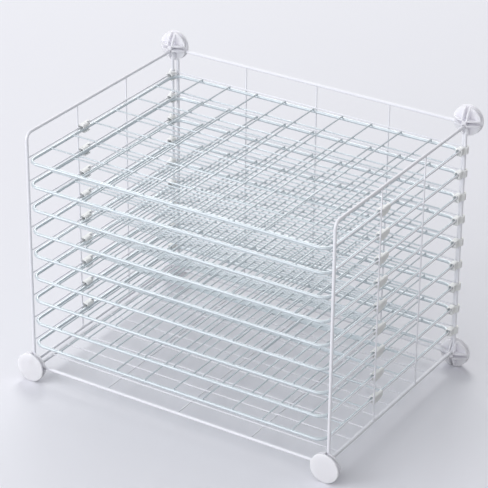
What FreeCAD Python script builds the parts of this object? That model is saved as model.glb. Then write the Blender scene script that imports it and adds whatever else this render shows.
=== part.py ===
"""Desktop wire rack that dries artwork on nine slide-out wire trays.

Millimetres, +Z up.  The origin is on the surface that the rack stands on, under the
middle of its bounding box.  -Y is the open front.  Every driving size is a cell of the
sheet "Sizes"; the pieces are bound to those cells by expressions.
"""
import FreeCAD, Part
import math
import os

import Sketcher
from FreeCAD import Placement, Rotation, Vector

LEVELS = 9              # trays, and level wires in each side panel
SIDE_UPRIGHTS = 2       # upright wires inside a side panel
WIDE_CROSS_COUNT = 3    # short wires inside the back and the bottom panel
WIDE_LONG_COUNT = 9     # left-to-right wires inside the back and the bottom panel
TRAY_LONG_COUNT = 9     # front-to-back wires of a tray
TRAY_CROSS_COUNT = 6    # left-to-right wires of a tray
RIM_SIDES = 8           # wires have flat sides, so that welds meet flat on flat:
FILL_SIDES = 6          # eight round a rim wire and six round a wire inside it

SIZES = [
    # wire
    ("rim_wire", 4.5, "thickness of the wire round a panel or a tray"),
    ("fill_wire", 2.2, "thickness of every wire inside a rim"),
    # panels, measured between wire centres
    ("panel_depth", 350.0, "front post to rear post"),
    ("wide_span", 467.0, "left to right rim of the back and bottom panels"),
    ("level_pitch", 35.0, "height from one level wire to the next"),
    ("panel_bend", 10.0, "bend radius of a panel's rim"),
    # trays
    ("tray_bend", 15.0, "bend radius of a tray's rim"),
    ("tray_play", 0.7, "from a tray's side rail to the posts"),
    ("tray_drop", 3.0, "tray rim below its level wire, centre to centre"),
    ("tray_front", 6.0, "front rail ahead of the front posts"),
    ("tray_back", 1.0, "rear rail ahead of the rear posts"),
    ("weld_lap", 1.2, "tray wires run this far past the rail's centre"),
    ("back_gap", 1.0, "between the rear posts and the back panel's rim"),
    # corner connector, along its axis from the outer face of its disc
    ("disc_radius", 21.5, "cover disc, which is also the foot"),
    ("disc_thick", 2.5, "cover disc"),
    ("disc_edge", 1.0, "chamfer of the cover disc's rim"),
    ("slot_play", 0.2, "play of a rim wire in a slot, each side"),
    ("hub_offset", 5.5, "connector axis to the centre of a gripped wire"),
    ("post_depth", 12.0, "outer face to the centre of the front post"),
    ("lobe_radius", 21.0, "four gripping lobes, at their foot"),
    ("lobe_plate", 2.0, "plate that joins the two ribs of a lobe"),
    ("rib_wall", 2.2, "rib along each side of a slot"),
    ("connector_length", 19.5, "outer face to the crown of the lobes' dome"),
    # tray clips
    ("clip_length", 22.0, "front clip, along its level wire"),
    ("hook_length", 13.5, "the part of it that carries the rail"),
    ("rear_clip_length", 11.0, "rear clip, ahead of the rear post"),
    ("clip_wall", 1.4, "plate, arm and floor"),
    ("clip_play", 0.35, "round the level wire and the rail"),
    ("clip_top", 3.6, "top of the arm above the level wire's centre"),
    ("clip_reach", 1.2, "floor past the inner side of the rail"),
    ("clip_bend", 1.0, "outer chamfer between plate and arm"),
    ("clip_gap", 0.5, "from the upright or the post beside it"),
    ("jaw_wall", 2.2, "rear clip's jaw round the post"),
    ("jaw_reach", 1.0, "jaw past the middle of the post"),
]

doc = FreeCAD.newDocument("ArtDryingRack")
sheet = doc.addObject("Spreadsheet::Sheet", "Sizes")
for row, (alias, number, note) in enumerate(SIZES, start=1):
    sheet.set("A%d" % row, note)
    sheet.set("B%d" % row, str(number))
    sheet.setAlias("B%d" % row, alias)
doc.recompute()

ALIASES = {alias for alias, _, _ in SIZES}


def sized(text):
    """Prefix each alias in an expression with the sheet's name."""
    result = ""
    word = ""
    for letter in text + " ":
        if letter.isalnum() or letter == "_":
            word += letter
            continue
        result += "Sizes." + word if word in ALIASES else word
        result += letter
        word = ""
    return result.strip()


def value(text):
    """Present number of an expression."""
    return float(sheet.evalExpression(sized(text)))


# Places and sizes that several pieces share -------------------------------------------
SLOT = "(rim_wire + 2 * slot_play)"
HUB = "(hub_offset - rim_wire / 2 - slot_play)"
RING_DEPTH = "(disc_thick + %s / 2)" % SLOT
LOBE_FOOT = "(disc_thick + %s)" % SLOT
LOBE_FLOOR = "(%s + lobe_plate)" % LOBE_FOOT
REAR_DEPTH = "(%s + rim_wire + back_gap)" % RING_DEPTH
SIDE_X = "(wide_span / 2 + hub_offset)"
FRAME_HEIGHT = "(%d * level_pitch)" % (LEVELS + 1)
FOOT_Z = "(disc_radius + hub_offset)"
TOP_AXIS_Z = "(%s + %s + hub_offset)" % (FOOT_Z, FRAME_HEIGHT)
PANEL_Y = "((post_depth - %s) / 2)" % REAR_DEPTH
FACE_Y = "((panel_depth + post_depth + %s) / 2)" % REAR_DEPTH
BACK_Y = "(%s - %s)" % (FACE_Y, RING_DEPTH)
RAIL_INSET = "(rim_wire + tray_play)"
TRAY_WIDTH = "(2 * %s - 2 * %s)" % (SIDE_X, RAIL_INSET)
TRAY_DEPTH = "(panel_depth + tray_front - tray_back)"
TRAY_Y = "(%s - (tray_front + tray_back) / 2)" % PANEL_Y
UPRIGHT_STEP = "(panel_depth / %d)" % (SIDE_UPRIGHTS + 1)

ALONG_X = Rotation(Vector(0, 1, 0), 90) * Rotation(Vector(0, 0, 1), 180.0 / FILL_SIDES)
ALONG_Y = Rotation(Vector(1, 0, 0), -90)


def level_z(level):
    """Height of a level wire's centre; level 1 is the highest."""
    return "(%s + %d * level_pitch)" % (FOOT_Z, LEVELS + 1 - level)


def place(piece, x="0", y="0", z="0", turn=None):
    """Bind a piece's position to expressions, with a fixed rotation."""
    piece.Placement = Placement(Vector(), turn or Rotation())
    piece.setExpression("Placement.Base.x", sized(x))
    piece.setExpression("Placement.Base.y", sized(y))
    piece.setExpression("Placement.Base.z", sized(z))
    return piece


def group(name, pieces):
    """Separate solids kept together as one piece."""
    result = doc.addObject("Part::Compound", name)
    result.Label = name
    result.Links = pieces
    return result


# Sketches -----------------------------------------------------------------------------
def new_sketch(body, name, role, height=None):
    """Sketch on one of the body's own planes, raised by an expression."""
    sketch = body.newObject("Sketcher::SketchObject", name)
    plane = [f for f in body.Origin.OriginFeatures if f.Role == role][0]
    sketch.AttachmentSupport = (plane, [""])
    sketch.MapMode = "FlatFace"
    if height:
        sketch.setExpression("AttachmentOffset.Base.z", sized(height))
    return sketch


def pin(sketch, geometry, end, x, y):
    """Hold one point of a sketch at two expressions."""
    for kind, text, axis in (("DistanceX", x, -2), ("DistanceY", y, -1)):
        number = value(text)
        if abs(number) < 1e-9:
            sketch.addConstraint(Sketcher.Constraint("PointOnObject", geometry, end, axis))
            continue
        rule = Sketcher.Constraint(kind, -1, 1, geometry, end, number)
        index = sketch.addConstraint(rule)
        sketch.setExpression("Constraints[%d]" % index, sized(text))


def outline(sketch, corners):
    """Closed outline through corners (x, y), each pinned.

    A corner (x, y, centre_x, centre_y) ends an anticlockwise arc about that centre, and
    (x, y, centre_x, centre_y, True) a clockwise one.
    """
    spots = [(value(c[0]), value(c[1])) for c in corners]
    first = sketch.GeometryCount
    for i, corner in enumerate(corners):
        x0, y0 = spots[i - 1]
        x1, y1 = spots[i]
        if len(corner) == 2:
            sketch.addGeometry(Part.LineSegment(Vector(x0, y0, 0), Vector(x1, y1, 0)))
            continue
        cx, cy = value(corner[2]), value(corner[3])
        radius = Vector(x1 - cx, y1 - cy, 0).Length
        circle = Part.Circle(Vector(cx, cy, 0), Vector(0, 0, 1), radius)
        begin = circle.parameter(Vector(x0, y0, 0))
        stop = circle.parameter(Vector(x1, y1, 0))
        if len(corner) == 5:
            begin, stop = stop, begin
        sketch.addGeometry(Part.ArcOfCircle(circle, begin, stop))
    count = len(corners)
    for i, corner in enumerate(corners):
        clockwise = len(corner) == 5
        after = corners[(i + 1) % count]
        end = 1 if clockwise else 2
        start = 2 if len(after) == 5 else 1
        here = first + i
        following = first + (i + 1) % count
        sketch.addConstraint(Sketcher.Constraint("Coincident", here, end, following, start))
        pin(sketch, here, end, corner[0], corner[1])
        if len(corner) > 2:
            cx, cy = value(corner[2]), value(corner[3])
            x1, y1 = spots[i]
            radius = Vector(x1 - cx, y1 - cy, 0).Length
            index = sketch.addConstraint(Sketcher.Constraint("Radius", here, radius))
            span = "sqrt(((%s) - (%s)) ^ 2 + ((%s) - (%s)) ^ 2)"
            span = span % (corner[0], corner[2], corner[1], corner[3])
            sketch.setExpression("Constraints[%d]" % index, sized(span))


def wire_section(sketch, x):
    """Section of a rim wire centred at (x, 0), with flats up, down, left and right."""
    corners = []
    for i in range(RIM_SIDES):
        angle = 360.0 / RIM_SIDES * (i + 0.5)
        reach = "rim_wire / 2 / cos(%.3f)" % (180.0 / RIM_SIDES)
        across = "%s + %s * %.9f" % (x, reach, math.cos(math.radians(angle)))
        up = "%s * %.9f" % (reach, math.sin(math.radians(angle)))
        corners.append((across, up))
    outline(sketch, corners)


# Wires ---------------------------------------------------------------------------------
def rim(name, width, height, bend):
    """Endless wire bent into a rectangle in the XY plane, centred on the origin."""
    body = doc.addObject("PartDesign::Body", name)
    body.Label = name
    path = new_sketch(body, name + "_path", "XY_Plane")
    half_w = "(%s / 2)" % width
    half_h = "(%s / 2)" % height
    in_w = "(%s - %s)" % (half_w, bend)
    in_h = "(%s - %s)" % (half_h, bend)
    outline(path, [
        (half_w, "0"),
        (half_w, in_h),
        (in_w, half_h, in_w, in_h),
        ("-" + in_w, half_h),
        ("-" + half_w, in_h, "-" + in_w, in_h),
        ("-" + half_w, "-" + in_h),
        ("-" + in_w, "-" + half_h, "-" + in_w, "-" + in_h),
        (in_w, "-" + half_h),
        (half_w, "-" + in_h, in_w, "-" + in_h),
    ])
    section = new_sketch(body, name + "_section", "XZ_Plane")
    wire_section(section, half_w)
    bar = body.newObject("PartDesign::AdditivePipe", name + "_bar")
    bar.Profile = section
    bar.Spine = (path, [])
    body.Tip = bar
    path.Visibility = False
    return body


def wires(name, count, run, across, step, length, level):
    """Equal straight wires on the XY plane, raised to a level.

    They lie along one axis, run, and are spread evenly over the other, across.
    """
    reach = "fill_wire / 2 / cos(%.3f)" % (180.0 / FILL_SIDES)
    pieces = []
    for i in range(count):
        wire = doc.addObject("Part::Prism", "%s_%d" % (name, i + 1))
        wire.Polygon = FILL_SIDES
        wire.setExpression("Circumradius", sized(reach))
        wire.setExpression("Height", sized(length))
        spot = {"z": level}
        spot[run] = "-(%s) / 2" % length
        spot[across] = "%.1f * %s" % (i - (count - 1) / 2.0, step)
        place(wire, spot["x"], spot["y"], spot["z"], ALONG_X if run == "x" else ALONG_Y)
        pieces.append(wire)
    return group(name, pieces)


# Panels: made lying in the XY plane, then stood up -------------------------------------
def side_panel(side, x, turn):
    """Side panel; its level wires face the trays and its uprights face outwards."""
    inner = "fill_wire / 2"
    rim_piece = rim(side + "_panel_rim", FRAME_HEIGHT, "panel_depth", "panel_bend")
    levels = wires(side + "_panel_level_wires", LEVELS, "y", "x", "level_pitch",
                   "panel_depth - rim_wire", inner)
    uprights = wires(side + "_panel_uprights", SIDE_UPRIGHTS, "x", "y", UPRIGHT_STEP,
                     FRAME_HEIGHT + " - rim_wire", "-%s" % inner)
    middle = "%s + %s / 2" % (FOOT_Z, FRAME_HEIGHT)
    return [place(piece, x, PANEL_Y, middle, turn) for piece in (rim_piece, levels, uprights)]


def wide_panel(side, height, step, y, z, turn):
    """Back or bottom panel; its long wires face the trays."""
    inner = "fill_wire / 2"
    cross_step = "(wide_span / %d)" % (WIDE_CROSS_COUNT + 1)
    rim_piece = rim(side + "_panel_rim", "wide_span", height, "panel_bend")
    long_wires = wires(side + "_panel_long_wires", WIDE_LONG_COUNT, "x", "y", step,
                       "wide_span - rim_wire", inner)
    cross = wires(side + "_panel_cross_wires", WIDE_CROSS_COUNT, "y", "x", cross_step,
                  height + " - rim_wire", "-%s" % inner)
    return [place(piece, "0", y, z, turn) for piece in (rim_piece, long_wires, cross)]


# Trays ----------------------------------------------------------------------------------
def tray_pieces():
    """Rim, long wires and cross wires of one tray, at the height of its rim."""
    long_step = "(%s / %d)" % (TRAY_WIDTH, TRAY_LONG_COUNT + 1)
    cross_step = "(%s / %d)" % (TRAY_DEPTH, TRAY_CROSS_COUNT + 1)
    over_rim = "(rim_wire + fill_wire) / 2"
    rim_piece = rim("tray", TRAY_WIDTH, TRAY_DEPTH, "tray_bend")
    long_wires = wires("tray_long", TRAY_LONG_COUNT, "y", "x", long_step,
                       TRAY_DEPTH + " + 2 * weld_lap", over_rim)
    cross = wires("tray_cross", TRAY_CROSS_COUNT, "x", "y", cross_step,
                  TRAY_WIDTH + " - rim_wire", over_rim + " - fill_wire")
    return [("rim", rim_piece), ("long_wires", long_wires), ("cross_wires", cross)]


def tray(level, masters):
    """The pieces of the tray on a level."""
    height = level_z(level) + " - tray_drop"
    pieces = []
    for part_name, master in masters:
        piece = group("tray_%d_%s" % (level, part_name), [master])
        pieces.append(place(piece, "0", TRAY_Y, height))
    return pieces


# Corner connector -----------------------------------------------------------------------
def connector_master():
    """Moulded corner connector along +Z, with the outer face of its disc at z = 0.

    The ring behind the disc takes the corner of a panel that lies across the axis.  The
    crossed slots between the four lobes take panels that the axis lies beside.  A lobe is
    two ribs that stand on a plate beside the slots, under one dome.
    """
    body = doc.addObject("PartDesign::Body", "connector")
    rise = "(connector_length - %s)" % LOBE_FLOOR
    dome_radius = "((lobe_radius ^ 2 + %s ^ 2) / (2 * %s))" % (rise, rise)
    profile = new_sketch(body, "connector_profile", "XZ_Plane")
    outline(profile, [
        ("0", "0"),
        ("disc_radius - disc_edge", "0"),
        ("disc_radius", "disc_edge"),
        ("disc_radius", "disc_thick"),
        (HUB, "disc_thick"),
        (HUB, LOBE_FOOT),
        ("lobe_radius", LOBE_FOOT),
        ("lobe_radius", LOBE_FLOOR),
        ("0", "connector_length", "0", "connector_length - " + dome_radius),
    ])
    turned = body.newObject("PartDesign::Revolution", "connector_body")
    turned.Profile = profile
    turned.ReferenceAxis = (profile, ["V_Axis"])
    turned.Angle = 360

    half = "(%s / 2)" % SLOT
    rim_side = "(lobe_radius + slot_play)"
    slot = [(half, HUB), (half, rim_side), ("-" + half, rim_side), ("-" + half, HUB)]
    cut_four(body, "slot", slot, LOBE_FOOT)
    near = "(%s + rib_wall)" % half
    bay = [(near, near), (rim_side, near), (rim_side, rim_side), (near, rim_side)]
    cut_four(body, "bay", bay, LOBE_FLOOR)
    return body


def cut_four(body, name, corners, floor):
    """Cut an outline from the free end down to a floor, four times round the axis."""
    sketch = new_sketch(body, name + "_outline", "XY_Plane", "connector_length")
    outline(sketch, corners)
    cut = body.newObject("PartDesign::Pocket", name)
    cut.Profile = sketch
    cut.setExpression("Length", sized("connector_length - " + floor))
    pattern = body.newObject("PartDesign::PolarPattern", name + "s")
    pattern.Originals = [cut]
    pattern.Axis = (sketch, ["N_Axis"])
    pattern.Angle = 360
    pattern.Occurrences = 4
    body.Tip = pattern


def connector(name, master, side, face, axis_z):
    """One connector; side is left or right, -1 or 1, and face is front or back, likewise."""
    piece = group(name, [master])
    turn = Rotation(Vector(1, 0, 0), 90.0 * face)
    return place(piece, "%d * %s" % (side, SIDE_X), "%d * %s" % (face, FACE_Y), axis_z, turn)


# Tray clips -----------------------------------------------------------------------------
CLIP_FLOOR = "(-(tray_drop) - rim_wire / 2 - clip_play)"
CLIP_BOTTOM = "(%s - clip_wall)" % CLIP_FLOOR
CLIP_BLOCK_X = "(%s - rim_wire / 2 - clip_play)" % RAIL_INSET
CLIP_LIP_X = "(%s + rim_wire / 2 + clip_reach)" % RAIL_INSET
FRONT_CLIP_START = "(fill_wire / 2 + clip_gap)"


def clip(name, length, offset, rearwards):
    """Moulded clip for a left level wire, which is at the origin's height.

    It hangs over the level wire, and its open inner side carries the tray's side rail
    with room for the tray's cross wires to pass.  x = 0 is the plane of the side panel,
    and the clip starts at an offset from y = 0.
    """
    body = doc.addObject("PartDesign::Body", name)
    start = ("-(%s)" if rearwards else "(%s)") % offset
    section = new_sketch(body, name + "_section", "XZ_Plane", start)
    inner = "-(clip_play)"
    outer = "(%s - clip_wall)" % inner
    block_top = "(-(fill_wire) / 2 - clip_play)"
    arm_low = "(-(tray_drop) + rim_wire / 2 + clip_play)"
    arm_radius = "(clip_top - %s)" % arm_low
    arm_x = "(%s - clip_reach / 2 - %s)" % (CLIP_LIP_X, arm_radius)
    outline(section, [
        (outer, CLIP_BOTTOM),
        (CLIP_LIP_X, CLIP_BOTTOM),
        (CLIP_LIP_X, CLIP_FLOOR),
        (CLIP_BLOCK_X, CLIP_FLOOR),
        (CLIP_BLOCK_X, block_top),
        (inner, block_top),
        (inner, "(clip_top - clip_wall)"),
        (arm_x, "(clip_top - clip_wall)"),
        ("(%s + %s - clip_wall)" % (arm_x, arm_radius), arm_low, arm_x, arm_low, True),
        ("(%s + %s)" % (arm_x, arm_radius), arm_low),
        (arm_x, "clip_top", arm_x, arm_low),
        ("(%s + clip_bend)" % outer, "clip_top"),
        (outer, "(clip_top - clip_bend)"),
    ])
    moulding = body.newObject("PartDesign::Pad", name + "_moulding")
    moulding.Profile = section
    moulding.setExpression("Length", sized(length))
    moulding.Reversed = rearwards
    body.Tip = moulding
    return body


def cut_tail(body):
    """Leave only a tail along the level wire behind the front clip's hook.

    Seen from above, the hook ends square; seen from the side, the tail's underside rises
    to the sleeve round the wire.
    """
    root = "(%s + hook_length)" % FRONT_CLIP_START
    end = "(%s + clip_length)" % FRONT_CLIP_START
    sleeve = "(-(fill_wire) / 2 - clip_play - clip_wall)"
    plan = [(CLIP_BLOCK_X, root), (CLIP_LIP_X, root), (CLIP_LIP_X, end), (CLIP_BLOCK_X, end)]
    side = [(root, CLIP_BOTTOM), (end, CLIP_BOTTOM), (end, sleeve)]
    for name, role, corners in (("beside_tail", "XY_Plane", plan),
                                ("under_tail", "YZ_Plane", side)):
        sketch = new_sketch(body, name + "_outline", role)
        outline(sketch, corners)
        cut = body.newObject("PartDesign::Pocket", name)
        cut.Profile = sketch
        cut.Type = "ThroughAll"
        cut.Midplane = True
        body.Tip = cut


def add_jaw(body):
    """Jaw that closes round the outer side of the rear post, which is at x = y = 0.

    It follows the flats of the post.
    """
    ring = new_sketch(body, "jaw_outline", "XY_Plane", CLIP_BOTTOM)
    seat = "(rim_wire / 2 + clip_play)"
    back = "(%s + jaw_wall)" % seat
    corners = []
    for flat, step in ((seat, -1), (back, 1)):
        corner = "%s * tan(%.3f)" % (flat, 180.0 / RIM_SIDES)
        side = [
            ("-(clip_play)", "-" + flat),
            ("-" + corner, "-" + flat),
            ("-" + flat, "-" + corner),
            ("-" + flat, corner),
            ("-" + corner, flat),
            ("jaw_reach", flat),
        ]
        corners += side[::step]
    outline(ring, corners)
    jaw = body.newObject("PartDesign::Pad", "jaw")
    jaw.Profile = ring
    jaw.setExpression("Length", sized("clip_top - " + CLIP_BOTTOM))
    body.Tip = jaw


def clips_master():
    """The four clips that carry one tray: front and rear, left and right."""
    front = clip("front_clip", "clip_length", FRONT_CLIP_START, True)
    cut_tail(front)
    rear = clip("rear_clip", "rear_clip_length", "rim_wire / 2 + clip_gap", False)
    add_jaw(rear)
    place(front, "-" + SIDE_X, "%s - %s / 2" % (PANEL_Y, UPRIGHT_STEP))
    place(rear, "-" + SIDE_X, PANEL_Y + " + panel_depth / 2")
    left = group("clips_left", [front, rear])
    right = doc.addObject("Part::Mirroring", "clips_right")
    right.Source = left
    right.Normal = Vector(1, 0, 0)
    return group("clips", [left, right])


# The rack -------------------------------------------------------------------------------
STAND_LEFT = Rotation(Vector(0, 1, 0), 90)
STAND_RIGHT = Rotation(Vector(0, 1, 0), -90)
STAND_BACK = Rotation(Vector(1, 0, 0), 90)

nodes = []
nodes += side_panel("left", "-" + SIDE_X, STAND_LEFT)
nodes += side_panel("right", SIDE_X, STAND_RIGHT)
nodes += wide_panel("back", FRAME_HEIGHT, "level_pitch", BACK_Y,
                    "%s + %s / 2" % (FOOT_Z, FRAME_HEIGHT), STAND_BACK)
nodes += wide_panel("bottom", "panel_depth", "(panel_depth / %d)" % (WIDE_LONG_COUNT + 1),
                    PANEL_Y, "disc_radius", None)

mould = connector_master()
for side_name, side in (("left", -1), ("right", 1)):
    nodes.append(connector("connector_top_back_" + side_name, mould, side, 1, TOP_AXIS_Z))
    nodes.append(connector("connector_bottom_back_" + side_name, mould, side, 1, "disc_radius"))
    nodes.append(connector("connector_bottom_front_" + side_name, mould, side, -1, "disc_radius"))

clip_set = clips_master()
for level in range(1, LEVELS + 1):
    nodes.append(place(group("clips_level_%d" % level, [clip_set]), z=level_z(level)))

tray_masters = tray_pieces()
for level in range(1, LEVELS + 1):
    nodes += tray(level, tray_masters)

doc.recompute()

for thing in doc.Objects:
    if "Invalid" in thing.State or "Error" in thing.State:
        raise RuntimeError("%s did not build" % thing.Name)

os.makedirs("parts", exist_ok=True)
for node in nodes:
    if node.Shape.isNull() or not node.Shape.isValid():
        raise RuntimeError("%s is not a valid solid" % node.Label)
    node.Shape.exportStep("parts/%s.step" % node.Label)
print("%d pieces written" % len(nodes))
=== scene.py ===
"""Art drying rack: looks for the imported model, in metres, +Z up, -Y the open front."""
import math

import bmesh
import bpy
from mathutils import Matrix, Vector


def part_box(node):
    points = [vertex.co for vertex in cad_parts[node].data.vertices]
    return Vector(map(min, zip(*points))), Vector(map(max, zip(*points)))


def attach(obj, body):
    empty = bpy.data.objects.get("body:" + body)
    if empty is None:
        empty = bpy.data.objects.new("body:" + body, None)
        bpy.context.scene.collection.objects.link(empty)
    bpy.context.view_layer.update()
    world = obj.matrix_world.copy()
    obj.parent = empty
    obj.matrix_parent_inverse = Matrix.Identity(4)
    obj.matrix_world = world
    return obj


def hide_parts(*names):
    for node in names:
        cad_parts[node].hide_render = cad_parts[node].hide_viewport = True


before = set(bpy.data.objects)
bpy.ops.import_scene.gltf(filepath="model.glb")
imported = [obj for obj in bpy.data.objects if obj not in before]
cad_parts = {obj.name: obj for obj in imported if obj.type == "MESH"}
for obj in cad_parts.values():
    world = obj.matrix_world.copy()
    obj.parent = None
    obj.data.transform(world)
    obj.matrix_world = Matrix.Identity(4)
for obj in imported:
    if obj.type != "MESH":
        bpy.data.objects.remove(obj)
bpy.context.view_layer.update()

MM = 0.001
X, Y, Z = 0, 1, 2

# What the solids are made of, as in the source -------------------------------------------
LEVELS = 9
LEVEL_WIRES = 9
UPRIGHTS = 2
WIDE_LONG_WIRES = 9
WIDE_CROSS_WIRES = 3
TRAY_LONG_WIRES = 9
TRAY_CROSS_WIRES = 6
PANEL_BEND = 10 * MM
TRAY_BEND = 15 * MM
SOLID_FILL_SIDES = 6     # sides of the solids' wires inside a rim

# Wire detail -----------------------------------------------------------------------------
RIM_SIDES = 20           # sides of a rim wire
FILL_SIDES = 14          # sides of a wire inside a rim
BEND_STEPS = 12          # segments in a bend
END_ROUND = 0.35         # how much a wire's end is rounded, in its radii
END_SHOULDER = 0.3       # where the rounding has its middle ring, as a share of it
SINK = 1.4 * MM          # a butted wire's end runs this far into the weld on the rim
WELD_SPREAD = 1.45       # a weld's half width, in radii of the thinner wire
WELD_RISE = 0.85         # and its half height
WELD_SIDES = 10          # sides of a weld
WELD_RINGS = 5           # rings between its lowest and its highest point
RAIL_WELD = 1.15         # a weld on a tray's rail, against one inside the tray

# Softened edges of the mouldings ---------------------------------------------------------
CONNECTOR_EDGE = 0.8 * MM
CLIP_EDGE = 0.62 * MM
EDGE_SEGMENTS = 3
EDGE_ANGLE = math.radians(32)    # edges that turn by more than this are rounded
JOIN_DISTANCE = 0.01 * MM        # corners of a solid's mesh that lie this close are joined

# Surfaces --------------------------------------------------------------------------------
SKIN_IOR = 1.5
PEEL_DETAIL = 3.0
PEEL_HEIGHT = 0.08 * MM
PEEL_LOW = 0.3           # the peel's noise at which the gloss is highest
PEEL_HIGH = 0.7          # and lowest
GLOSSIER = 0.05          # the roughness goes this far below the value given
DULLER = 0.07            # and this far above it
CLOUD_COARSENESS = 40    # the colour's mottling, against the peel
CLOUD_DETAIL = 4.0
EVEN_SCATTER = (1, 1, 1)         # light goes as far in red as in green and blue

# Stage -----------------------------------------------------------------------------------
FLOOR_REACH = 12.0       # from the middle of the floor to its edge
FLOOR_ROUGHNESS = 0.75
FLOOR_SEEN = (0.82, 0.82, 0.855, 1)      # the floor's colour to the eye
FLOOR_BOUNCE = (0.40, 0.40, 0.41, 1)     # and for the light that it throws back
DARK_SIDE = (0.66, 0.75, 0.0)    # where the dome is dim: the back right
DOME_BRIGHT = 0.80       # strength of the dome opposite the dark side
DOME_DIM = 0.33          # and over the dark side
DOME_TURN = 0.9          # half the span of the change, in cosines of the angle to DARK_SIDE
HORIZON_SEEN = 0.82      # what the eye sees above the floor
SKY_COLOUR = (0.96, 0.97, 1.0, 1)
NEUTRAL_WHITE = (1, 1, 1)
COOL_WHITE = (0.94, 0.95, 1.0)
RACK_MIDDLE = (0, 0, 0.2)

# The photograph's camera, in the frame's millimetres -------------------------------------
CAMERA_AT = (1516.0, -2424.3, 1677.3)
CAMERA_AZIMUTH = 32.08
CAMERA_ELEVATION = 27.26
CAMERA_ROLL = 0.564
FOCAL_PIXELS = 2336.0
PHOTO_SIDE = 488.0
SENSOR = 36.0


# Mesh helpers ----------------------------------------------------------------------------
def mesh_object(name, bm, material):
    """Smooth-shaded object made from bm, which is freed."""
    mesh = bpy.data.meshes.new(name)
    bm.normal_update()
    bm.to_mesh(mesh)
    bm.free()
    mesh.shade_smooth()
    mesh.materials.append(material)
    piece = bpy.data.objects.new(name, mesh)
    bpy.context.scene.collection.objects.link(piece)
    return piece


def ring(bm, centre, across, up, radius, sides):
    """Corners of a round section, in the plane of across and up."""
    spots = []
    for i in range(sides):
        angle = 2 * math.pi * i / sides
        spots.append(bm.verts.new(
            centre + across * (radius * math.cos(angle)) + up * (radius * math.sin(angle))))
    return spots


def bridge(bm, one, two):
    """Band of faces between two rings."""
    count = len(one)
    for i in range(count):
        j = (i + 1) % count
        bm.faces.new((one[i], one[j], two[j], two[i]))


def axis_vector(axis):
    """Unit vector along an axis."""
    return Vector([1.0 if i == axis else 0.0 for i in range(3)])


def rim_wire(bm, lo, hi, thin, bend):
    """Round endless wire that fills the box lo-hi; thin is the axis across its plane."""
    radius = (hi[thin] - lo[thin]) / 2
    u, v = [a for a in (X, Y, Z) if a != thin]
    normal = axis_vector(thin)
    centre = (lo + hi) / 2
    half_u = (hi[u] - lo[u]) / 2 - radius - bend
    half_v = (hi[v] - lo[v]) / 2 - radius - bend
    rings = []
    for quarter in range(4):
        sign_u = 1 if quarter in (0, 3) else -1
        sign_v = 1 if quarter in (0, 1) else -1
        corner = centre + axis_vector(u) * (sign_u * half_u) + axis_vector(v) * (sign_v * half_v)
        for step in range(BEND_STEPS + 1):
            angle = math.pi / 2 * (quarter + step / BEND_STEPS)
            out = axis_vector(u) * math.cos(angle) + axis_vector(v) * math.sin(angle)
            rings.append(ring(bm, corner + out * bend, out, normal, radius, RIM_SIDES))
    for i, one in enumerate(rings):
        bridge(bm, one, rings[(i + 1) % len(rings)])


def straight_wire(bm, start, end, radius):
    """Round wire with softly rounded ends."""
    along = (end - start).normalized()
    across = along.orthogonal().normalized()
    up = along.cross(across)
    length = (end - start).length
    soft = END_ROUND * radius
    shoulder = END_SHOULDER * soft
    stations = ((0.0, radius - soft), (shoulder, radius - shoulder), (soft, radius),
                (length - soft, radius), (length - shoulder, radius - shoulder),
                (length, radius - soft))
    rings = [ring(bm, start + along * s, across, up, r, FILL_SIDES) for s, r in stations]
    for one, two in zip(rings, rings[1:]):
        bridge(bm, one, two)
    bm.faces.new(list(reversed(rings[0])))
    bm.faces.new(rings[-1])


def weld(bm, centre, thin, radius):
    """Low rounded nugget where two wires cross; thin is the axis from one to the other."""
    half_width = WELD_SPREAD * radius
    half_height = WELD_RISE * radius
    normal = axis_vector(thin)
    u = axis_vector((thin + 1) % 3)
    v = axis_vector((thin + 2) % 3)
    rings = []
    for i in range(1, WELD_RINGS + 1):
        angle = math.pi * i / (WELD_RINGS + 1)
        level = centre - normal * (half_height * math.cos(angle))
        rings.append(ring(bm, level, u, v, half_width * math.sin(angle), WELD_SIDES))
    for one, two in zip(rings, rings[1:]):
        bridge(bm, one, two)
    low = bm.verts.new(centre - normal * half_height)
    high = bm.verts.new(centre + normal * half_height)
    for i in range(WELD_SIDES):
        j = (i + 1) % WELD_SIDES
        bm.faces.new((rings[0][j], rings[0][i], low))
        bm.faces.new((rings[-1][i], rings[-1][j], high))


def spread(lo, hi, count, half_width):
    """Centres of count wires that fill lo to hi evenly."""
    first = lo + half_width
    last = hi - half_width
    return [first + (last - first) * i / (count - 1) for i in range(count)]


def corners(node):
    """Lowest and highest corner of a node's box."""
    lo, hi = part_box(node)
    return Vector(lo), Vector(hi)


def fill_wires(bm, node, run, across, count, sink=0.0):
    """Round wires in a node's box; returns their centres across, their middle and radius.

    The wires lie along run, side by side along across, and thin is the third axis. The
    node's own wires are six-sided, with flats across thin and corners along across.
    """
    thin = 3 - run - across
    lo, hi = corners(node)
    radius = (hi[thin] - lo[thin]) / 2
    middle = (lo[thin] + hi[thin]) / 2
    to_corner = radius / math.cos(math.pi / SOLID_FILL_SIDES)
    places = spread(lo[across], hi[across], count, to_corner)
    for place in places:
        start = Vector((0, 0, 0))
        start[thin] = middle
        start[across] = place
        end = start.copy()
        start[run] = lo[run] - sink
        end[run] = hi[run] + sink
        straight_wire(bm, start, end, radius)
    return places, middle, radius


def spot(thin, level, u_axis, u, v_axis, v):
    """Point with a place along each of three named axes."""
    point = Vector((0, 0, 0))
    point[thin] = level
    point[u_axis] = u
    point[v_axis] = v
    return point


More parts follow.
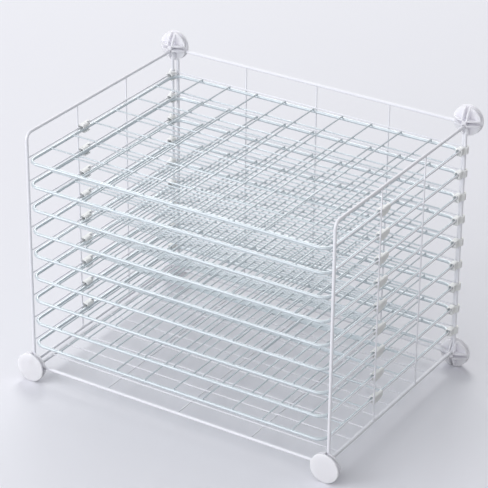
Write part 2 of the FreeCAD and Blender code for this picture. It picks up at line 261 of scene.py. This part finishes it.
# Materials -------------------------------------------------------------------------------
def coat(name, colour, shade, roughness, grain, bump, **shader_values):
    """Coat or moulded skin: fine peel, faint mottling of colour and of gloss.

    The surface drifts between colour and shade. Its peel has the scale grain and the
    strength bump. shader_values are more of the shader's inputs, with _ for a space.
    """
    material = bpy.data.materials.new(name)
    material.use_nodes = True
    nodes = material.node_tree.nodes
    links = material.node_tree.links
    shader = nodes["Principled BSDF"]
    shader.inputs["IOR"].default_value = SKIN_IOR
    for socket, number in shader_values.items():
        shader.inputs[socket.replace("_", " ")].default_value = number
    place = nodes.new("ShaderNodeTexCoord")
    peel = nodes.new("ShaderNodeTexNoise")
    peel.inputs["Scale"].default_value = grain
    peel.inputs["Detail"].default_value = PEEL_DETAIL
    links.new(place.outputs["Object"], peel.inputs["Vector"])
    cloud = nodes.new("ShaderNodeTexNoise")
    cloud.inputs["Scale"].default_value = grain / CLOUD_COARSENESS
    cloud.inputs["Detail"].default_value = CLOUD_DETAIL
    links.new(place.outputs["Object"], cloud.inputs["Vector"])
    tint = nodes.new("ShaderNodeMix")
    tint.data_type = "RGBA"
    tint.inputs["A"].default_value = (*shade, 1)
    tint.inputs["B"].default_value = (*colour, 1)
    links.new(cloud.outputs["Fac"], tint.inputs["Factor"])
    links.new(tint.outputs["Result"], shader.inputs["Base Color"])
    gloss = nodes.new("ShaderNodeMapRange")
    gloss.inputs["From Min"].default_value = PEEL_LOW
    gloss.inputs["From Max"].default_value = PEEL_HIGH
    gloss.inputs["To Min"].default_value = roughness - GLOSSIER
    gloss.inputs["To Max"].default_value = roughness + DULLER
    links.new(peel.outputs["Fac"], gloss.inputs["Value"])
    links.new(gloss.outputs["Result"], shader.inputs["Roughness"])
    relief = nodes.new("ShaderNodeBump")
    relief.inputs["Strength"].default_value = bump
    relief.inputs["Distance"].default_value = PEEL_HEIGHT
    links.new(peel.outputs["Fac"], relief.inputs["Height"])
    links.new(relief.outputs["Normal"], shader.inputs["Normal"])
    return material


PANEL_COAT = coat("panel_coat", colour=(0.90, 0.90, 0.93), shade=(0.85, 0.85, 0.89),
                  roughness=0.40, grain=900.0, bump=0.2,
                  Coat_Weight=0.1, Coat_Roughness=0.2)
TRAY_COAT = coat("tray_coat", colour=(0.66, 0.715, 0.74), shade=(0.58, 0.64, 0.67),
                 roughness=0.31, grain=900.0, bump=0.06, Metallic=0.30)
MOULD_WHITE = coat("connector_plastic", colour=(0.91, 0.895, 0.955), shade=(0.89, 0.875, 0.94),
                   roughness=0.50, grain=260.0, bump=0.12, Specular_IOR_Level=0.35,
                   Subsurface_Weight=0.9, Subsurface_Radius=EVEN_SCATTER,
                   Subsurface_Scale=7 * MM)
CLIP_PLASTIC = coat("clip_plastic", colour=(0.94, 0.95, 0.91), shade=(0.90, 0.92, 0.88),
                    roughness=0.46, grain=300.0, bump=0.15,
                    Subsurface_Weight=0.8, Subsurface_Radius=EVEN_SCATTER,
                    Subsurface_Scale=4 * MM)


# Wire panels -----------------------------------------------------------------------------
def wire_panel(name, thin, run, across, names, counts, body):
    """Round-wire panel with welds, standing for its three nodes.

    The wires of names[0] lie along run; those of names[1] cross them.
    """
    bm = bmesh.new()
    rim_node = name + "_rim"
    lo, hi = corners(rim_node)
    rim_wire(bm, lo, hi, thin, PANEL_BEND)
    long_node = "%s_%s" % (name, names[0])
    cross_node = "%s_%s" % (name, names[1])
    rows, row_level, radius = fill_wires(bm, long_node, run, across, counts[0], SINK)
    columns, column_level, _ = fill_wires(bm, cross_node, across, run, counts[1], SINK)
    meet = (row_level + column_level) / 2
    for row in rows:
        for column in columns:
            weld(bm, spot(thin, meet, across, row, run, column), thin, radius)
    piece = mesh_object(name + "_wire", bm, PANEL_COAT)
    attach(piece, body)
    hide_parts(rim_node, long_node, cross_node)


for side_panel in ("left_panel", "right_panel"):
    wire_panel(side_panel, X, Y, Z, ("level_wires", "uprights"), (LEVEL_WIRES, UPRIGHTS),
               "rack")
wire_panel("back_panel", Y, X, Z, ("long_wires", "cross_wires"),
           (WIDE_LONG_WIRES, WIDE_CROSS_WIRES), "rack")
wire_panel("bottom_panel", Z, X, Y, ("long_wires", "cross_wires"),
           (WIDE_LONG_WIRES, WIDE_CROSS_WIRES), "rack")


# Trays -----------------------------------------------------------------------------------
def tray(level):
    """Round-wire tray with welds, standing for its three nodes; level 1 is the top one."""
    name = "tray_%d" % level
    bm = bmesh.new()
    lo, hi = corners(name + "_rim")
    rim_wire(bm, lo, hi, Z, TRAY_BEND)
    rim_radius = (hi.z - lo.z) / 2
    rails = (lo.y + rim_radius, hi.y - rim_radius)
    xs, long_z, radius = fill_wires(bm, name + "_long_wires", Y, X, TRAY_LONG_WIRES)
    ys, cross_z, _ = fill_wires(bm, name + "_cross_wires", X, Y, TRAY_CROSS_WIRES, SINK)
    meet = (long_z + cross_z) / 2
    for x in xs:
        for y in ys:
            weld(bm, spot(Z, meet, X, x, Y, y), Z, radius)
        for y in rails:
            weld(bm, spot(Z, hi.z, X, x, Y, y), Z, radius * RAIL_WELD)
    piece = mesh_object(name + "_wire", bm, TRAY_COAT)
    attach(piece, name)
    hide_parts(name + "_rim", name + "_long_wires", name + "_cross_wires")


for level in range(1, LEVELS + 1):
    tray(level)


# Mouldings: the solids themselves, with their finish and softened edges ------------------
def mould(node, finish, edge):
    """Gives a node its finish and rounds its edges by edge."""
    for slot in node.material_slots:
        slot.material = finish
    joined = node.modifiers.new("joined", "WELD")
    joined.merge_threshold = JOIN_DISTANCE
    rounded = node.modifiers.new("rounded", "BEVEL")
    rounded.width = edge
    rounded.segments = EDGE_SEGMENTS
    rounded.limit_method = "ANGLE"
    rounded.angle_limit = EDGE_ANGLE
    rounded.harden_normals = False
    shading = node.modifiers.new("shading", "WEIGHTED_NORMAL")
    shading.keep_sharp = False


for node_name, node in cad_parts.items():
    if node_name.startswith("connector_"):
        mould(node, MOULD_WHITE, CONNECTOR_EDGE)
    elif node_name.startswith("clips_level_"):
        mould(node, CLIP_PLASTIC, CLIP_EDGE)


# Floor, lamps and world ------------------------------------------------------------------
def seen_rays(nodes, links):
    """1 for what the eye sees, straight or in a glossy or clear surface, and 0 for other rays."""
    rays = nodes.new("ShaderNodeLightPath")
    seen = rays.outputs["Is Camera Ray"]
    for kind in ("Is Glossy Ray", "Is Transmission Ray"):
        either = nodes.new("ShaderNodeMath")
        either.operation = "MAXIMUM"
        links.new(seen, either.inputs[0])
        links.new(rays.outputs[kind], either.inputs[1])
        seen = either.outputs["Value"]
    return seen


def floor_material():
    """Pale to the eye and in reflections; it throws back less light than it shows."""
    material = bpy.data.materials.new("floor")
    material.use_nodes = True
    nodes = material.node_tree.nodes
    links = material.node_tree.links
    shader = nodes["Principled BSDF"]
    shader.inputs["Roughness"].default_value = FLOOR_ROUGHNESS
    colour = nodes.new("ShaderNodeMix")
    colour.data_type = "RGBA"
    colour.inputs["A"].default_value = FLOOR_BOUNCE
    colour.inputs["B"].default_value = FLOOR_SEEN
    links.new(seen_rays(nodes, links), colour.inputs["Factor"])
    links.new(colour.outputs["Result"], shader.inputs["Base Color"])
    return material


def lay_floor():
    bm = bmesh.new()
    bmesh.ops.create_grid(bm, x_segments=2, y_segments=2, size=FLOOR_REACH)
    floor = mesh_object("floor", bm, floor_material())


def softbox(name, at, width, height, power, colour):
    """Rectangular lamp that faces the middle of the rack."""
    light = bpy.data.lights.new(name, "AREA")
    light.shape = "RECTANGLE"
    light.size = width
    light.size_y = height
    light.energy = power
    light.color = colour
    lamp = bpy.data.objects.new(name, light)
    lamp.location = at
    ahead = Vector(RACK_MIDDLE) - Vector(at)
    lamp.rotation_euler = ahead.to_track_quat("-Z", "Y").to_euler()
    bpy.context.scene.collection.objects.link(lamp)


def studio_world():
    """Soft dome, brightest on the front left; one pale tone to the eye and in reflections."""
    world = bpy.data.worlds.new("studio")
    world.use_nodes = True
    nodes = world.node_tree.nodes
    links = world.node_tree.links
    place = nodes.new("ShaderNodeTexCoord")
    away = nodes.new("ShaderNodeVectorMath")
    away.operation = "DOT_PRODUCT"
    away.inputs[1].default_value = DARK_SIDE
    links.new(place.outputs["Generated"], away.inputs[0])
    dome = nodes.new("ShaderNodeMapRange")
    dome.interpolation_type = "SMOOTHSTEP"
    dome.inputs["From Min"].default_value = -DOME_TURN
    dome.inputs["From Max"].default_value = DOME_TURN
    dome.inputs["To Min"].default_value = DOME_BRIGHT
    dome.inputs["To Max"].default_value = DOME_DIM
    links.new(away.outputs["Value"], dome.inputs["Value"])
    strength = nodes.new("ShaderNodeMix")
    strength.data_type = "FLOAT"
    strength.inputs["B"].default_value = HORIZON_SEEN
    links.new(seen_rays(nodes, links), strength.inputs["Factor"])
    links.new(dome.outputs["Result"], strength.inputs["A"])
    sky = nodes["Background"]
    sky.inputs["Color"].default_value = SKY_COLOUR
    links.new(strength.outputs["Result"], sky.inputs["Strength"])
    return world


lay_floor()
softbox("back_left", at=(-3.0, 4.4, 4.4), width=2.8, height=2.4, power=160,
        colour=NEUTRAL_WHITE)
softbox("front_left", at=(-2.8, -3.4, 2.3), width=2.6, height=2.0, power=78,
        colour=COOL_WHITE)
softbox("front", at=(0.4, -3.6, 1.2), width=3.0, height=1.8, power=35, colour=COOL_WHITE)
bpy.context.scene.world = studio_world()


# Camera ----------------------------------------------------------------------------------
def photo_camera():
    """Camera with the photograph's place, turn and focal length."""
    azimuth = math.radians(CAMERA_AZIMUTH)
    elevation = math.radians(CAMERA_ELEVATION)
    roll = math.radians(CAMERA_ROLL)
    ahead = Vector((-math.sin(azimuth) * math.cos(elevation),
                    math.cos(azimuth) * math.cos(elevation), -math.sin(elevation)))
    level_right = Vector((math.cos(azimuth), math.sin(azimuth), 0))
    level_up = level_right.cross(ahead)
    right = level_right * math.cos(roll) + level_up * math.sin(roll)
    up = level_up * math.cos(roll) - level_right * math.sin(roll)
    camera_data = bpy.data.cameras.new("camera")
    camera_data.sensor_width = SENSOR
    camera_data.lens = FOCAL_PIXELS / PHOTO_SIDE * SENSOR
    camera = bpy.data.objects.new("camera", camera_data)
    camera.matrix_world = Matrix((
        (right.x, up.x, -ahead.x, CAMERA_AT[0] * MM),
        (right.y, up.y, -ahead.y, CAMERA_AT[1] * MM),
        (right.z, up.z, -ahead.z, CAMERA_AT[2] * MM),
        (0, 0, 0, 1)))
    bpy.context.scene.collection.objects.link(camera)
    return camera


bpy.context.scene.camera = photo_camera()
bpy.context.scene.view_settings.view_transform = "Standard"
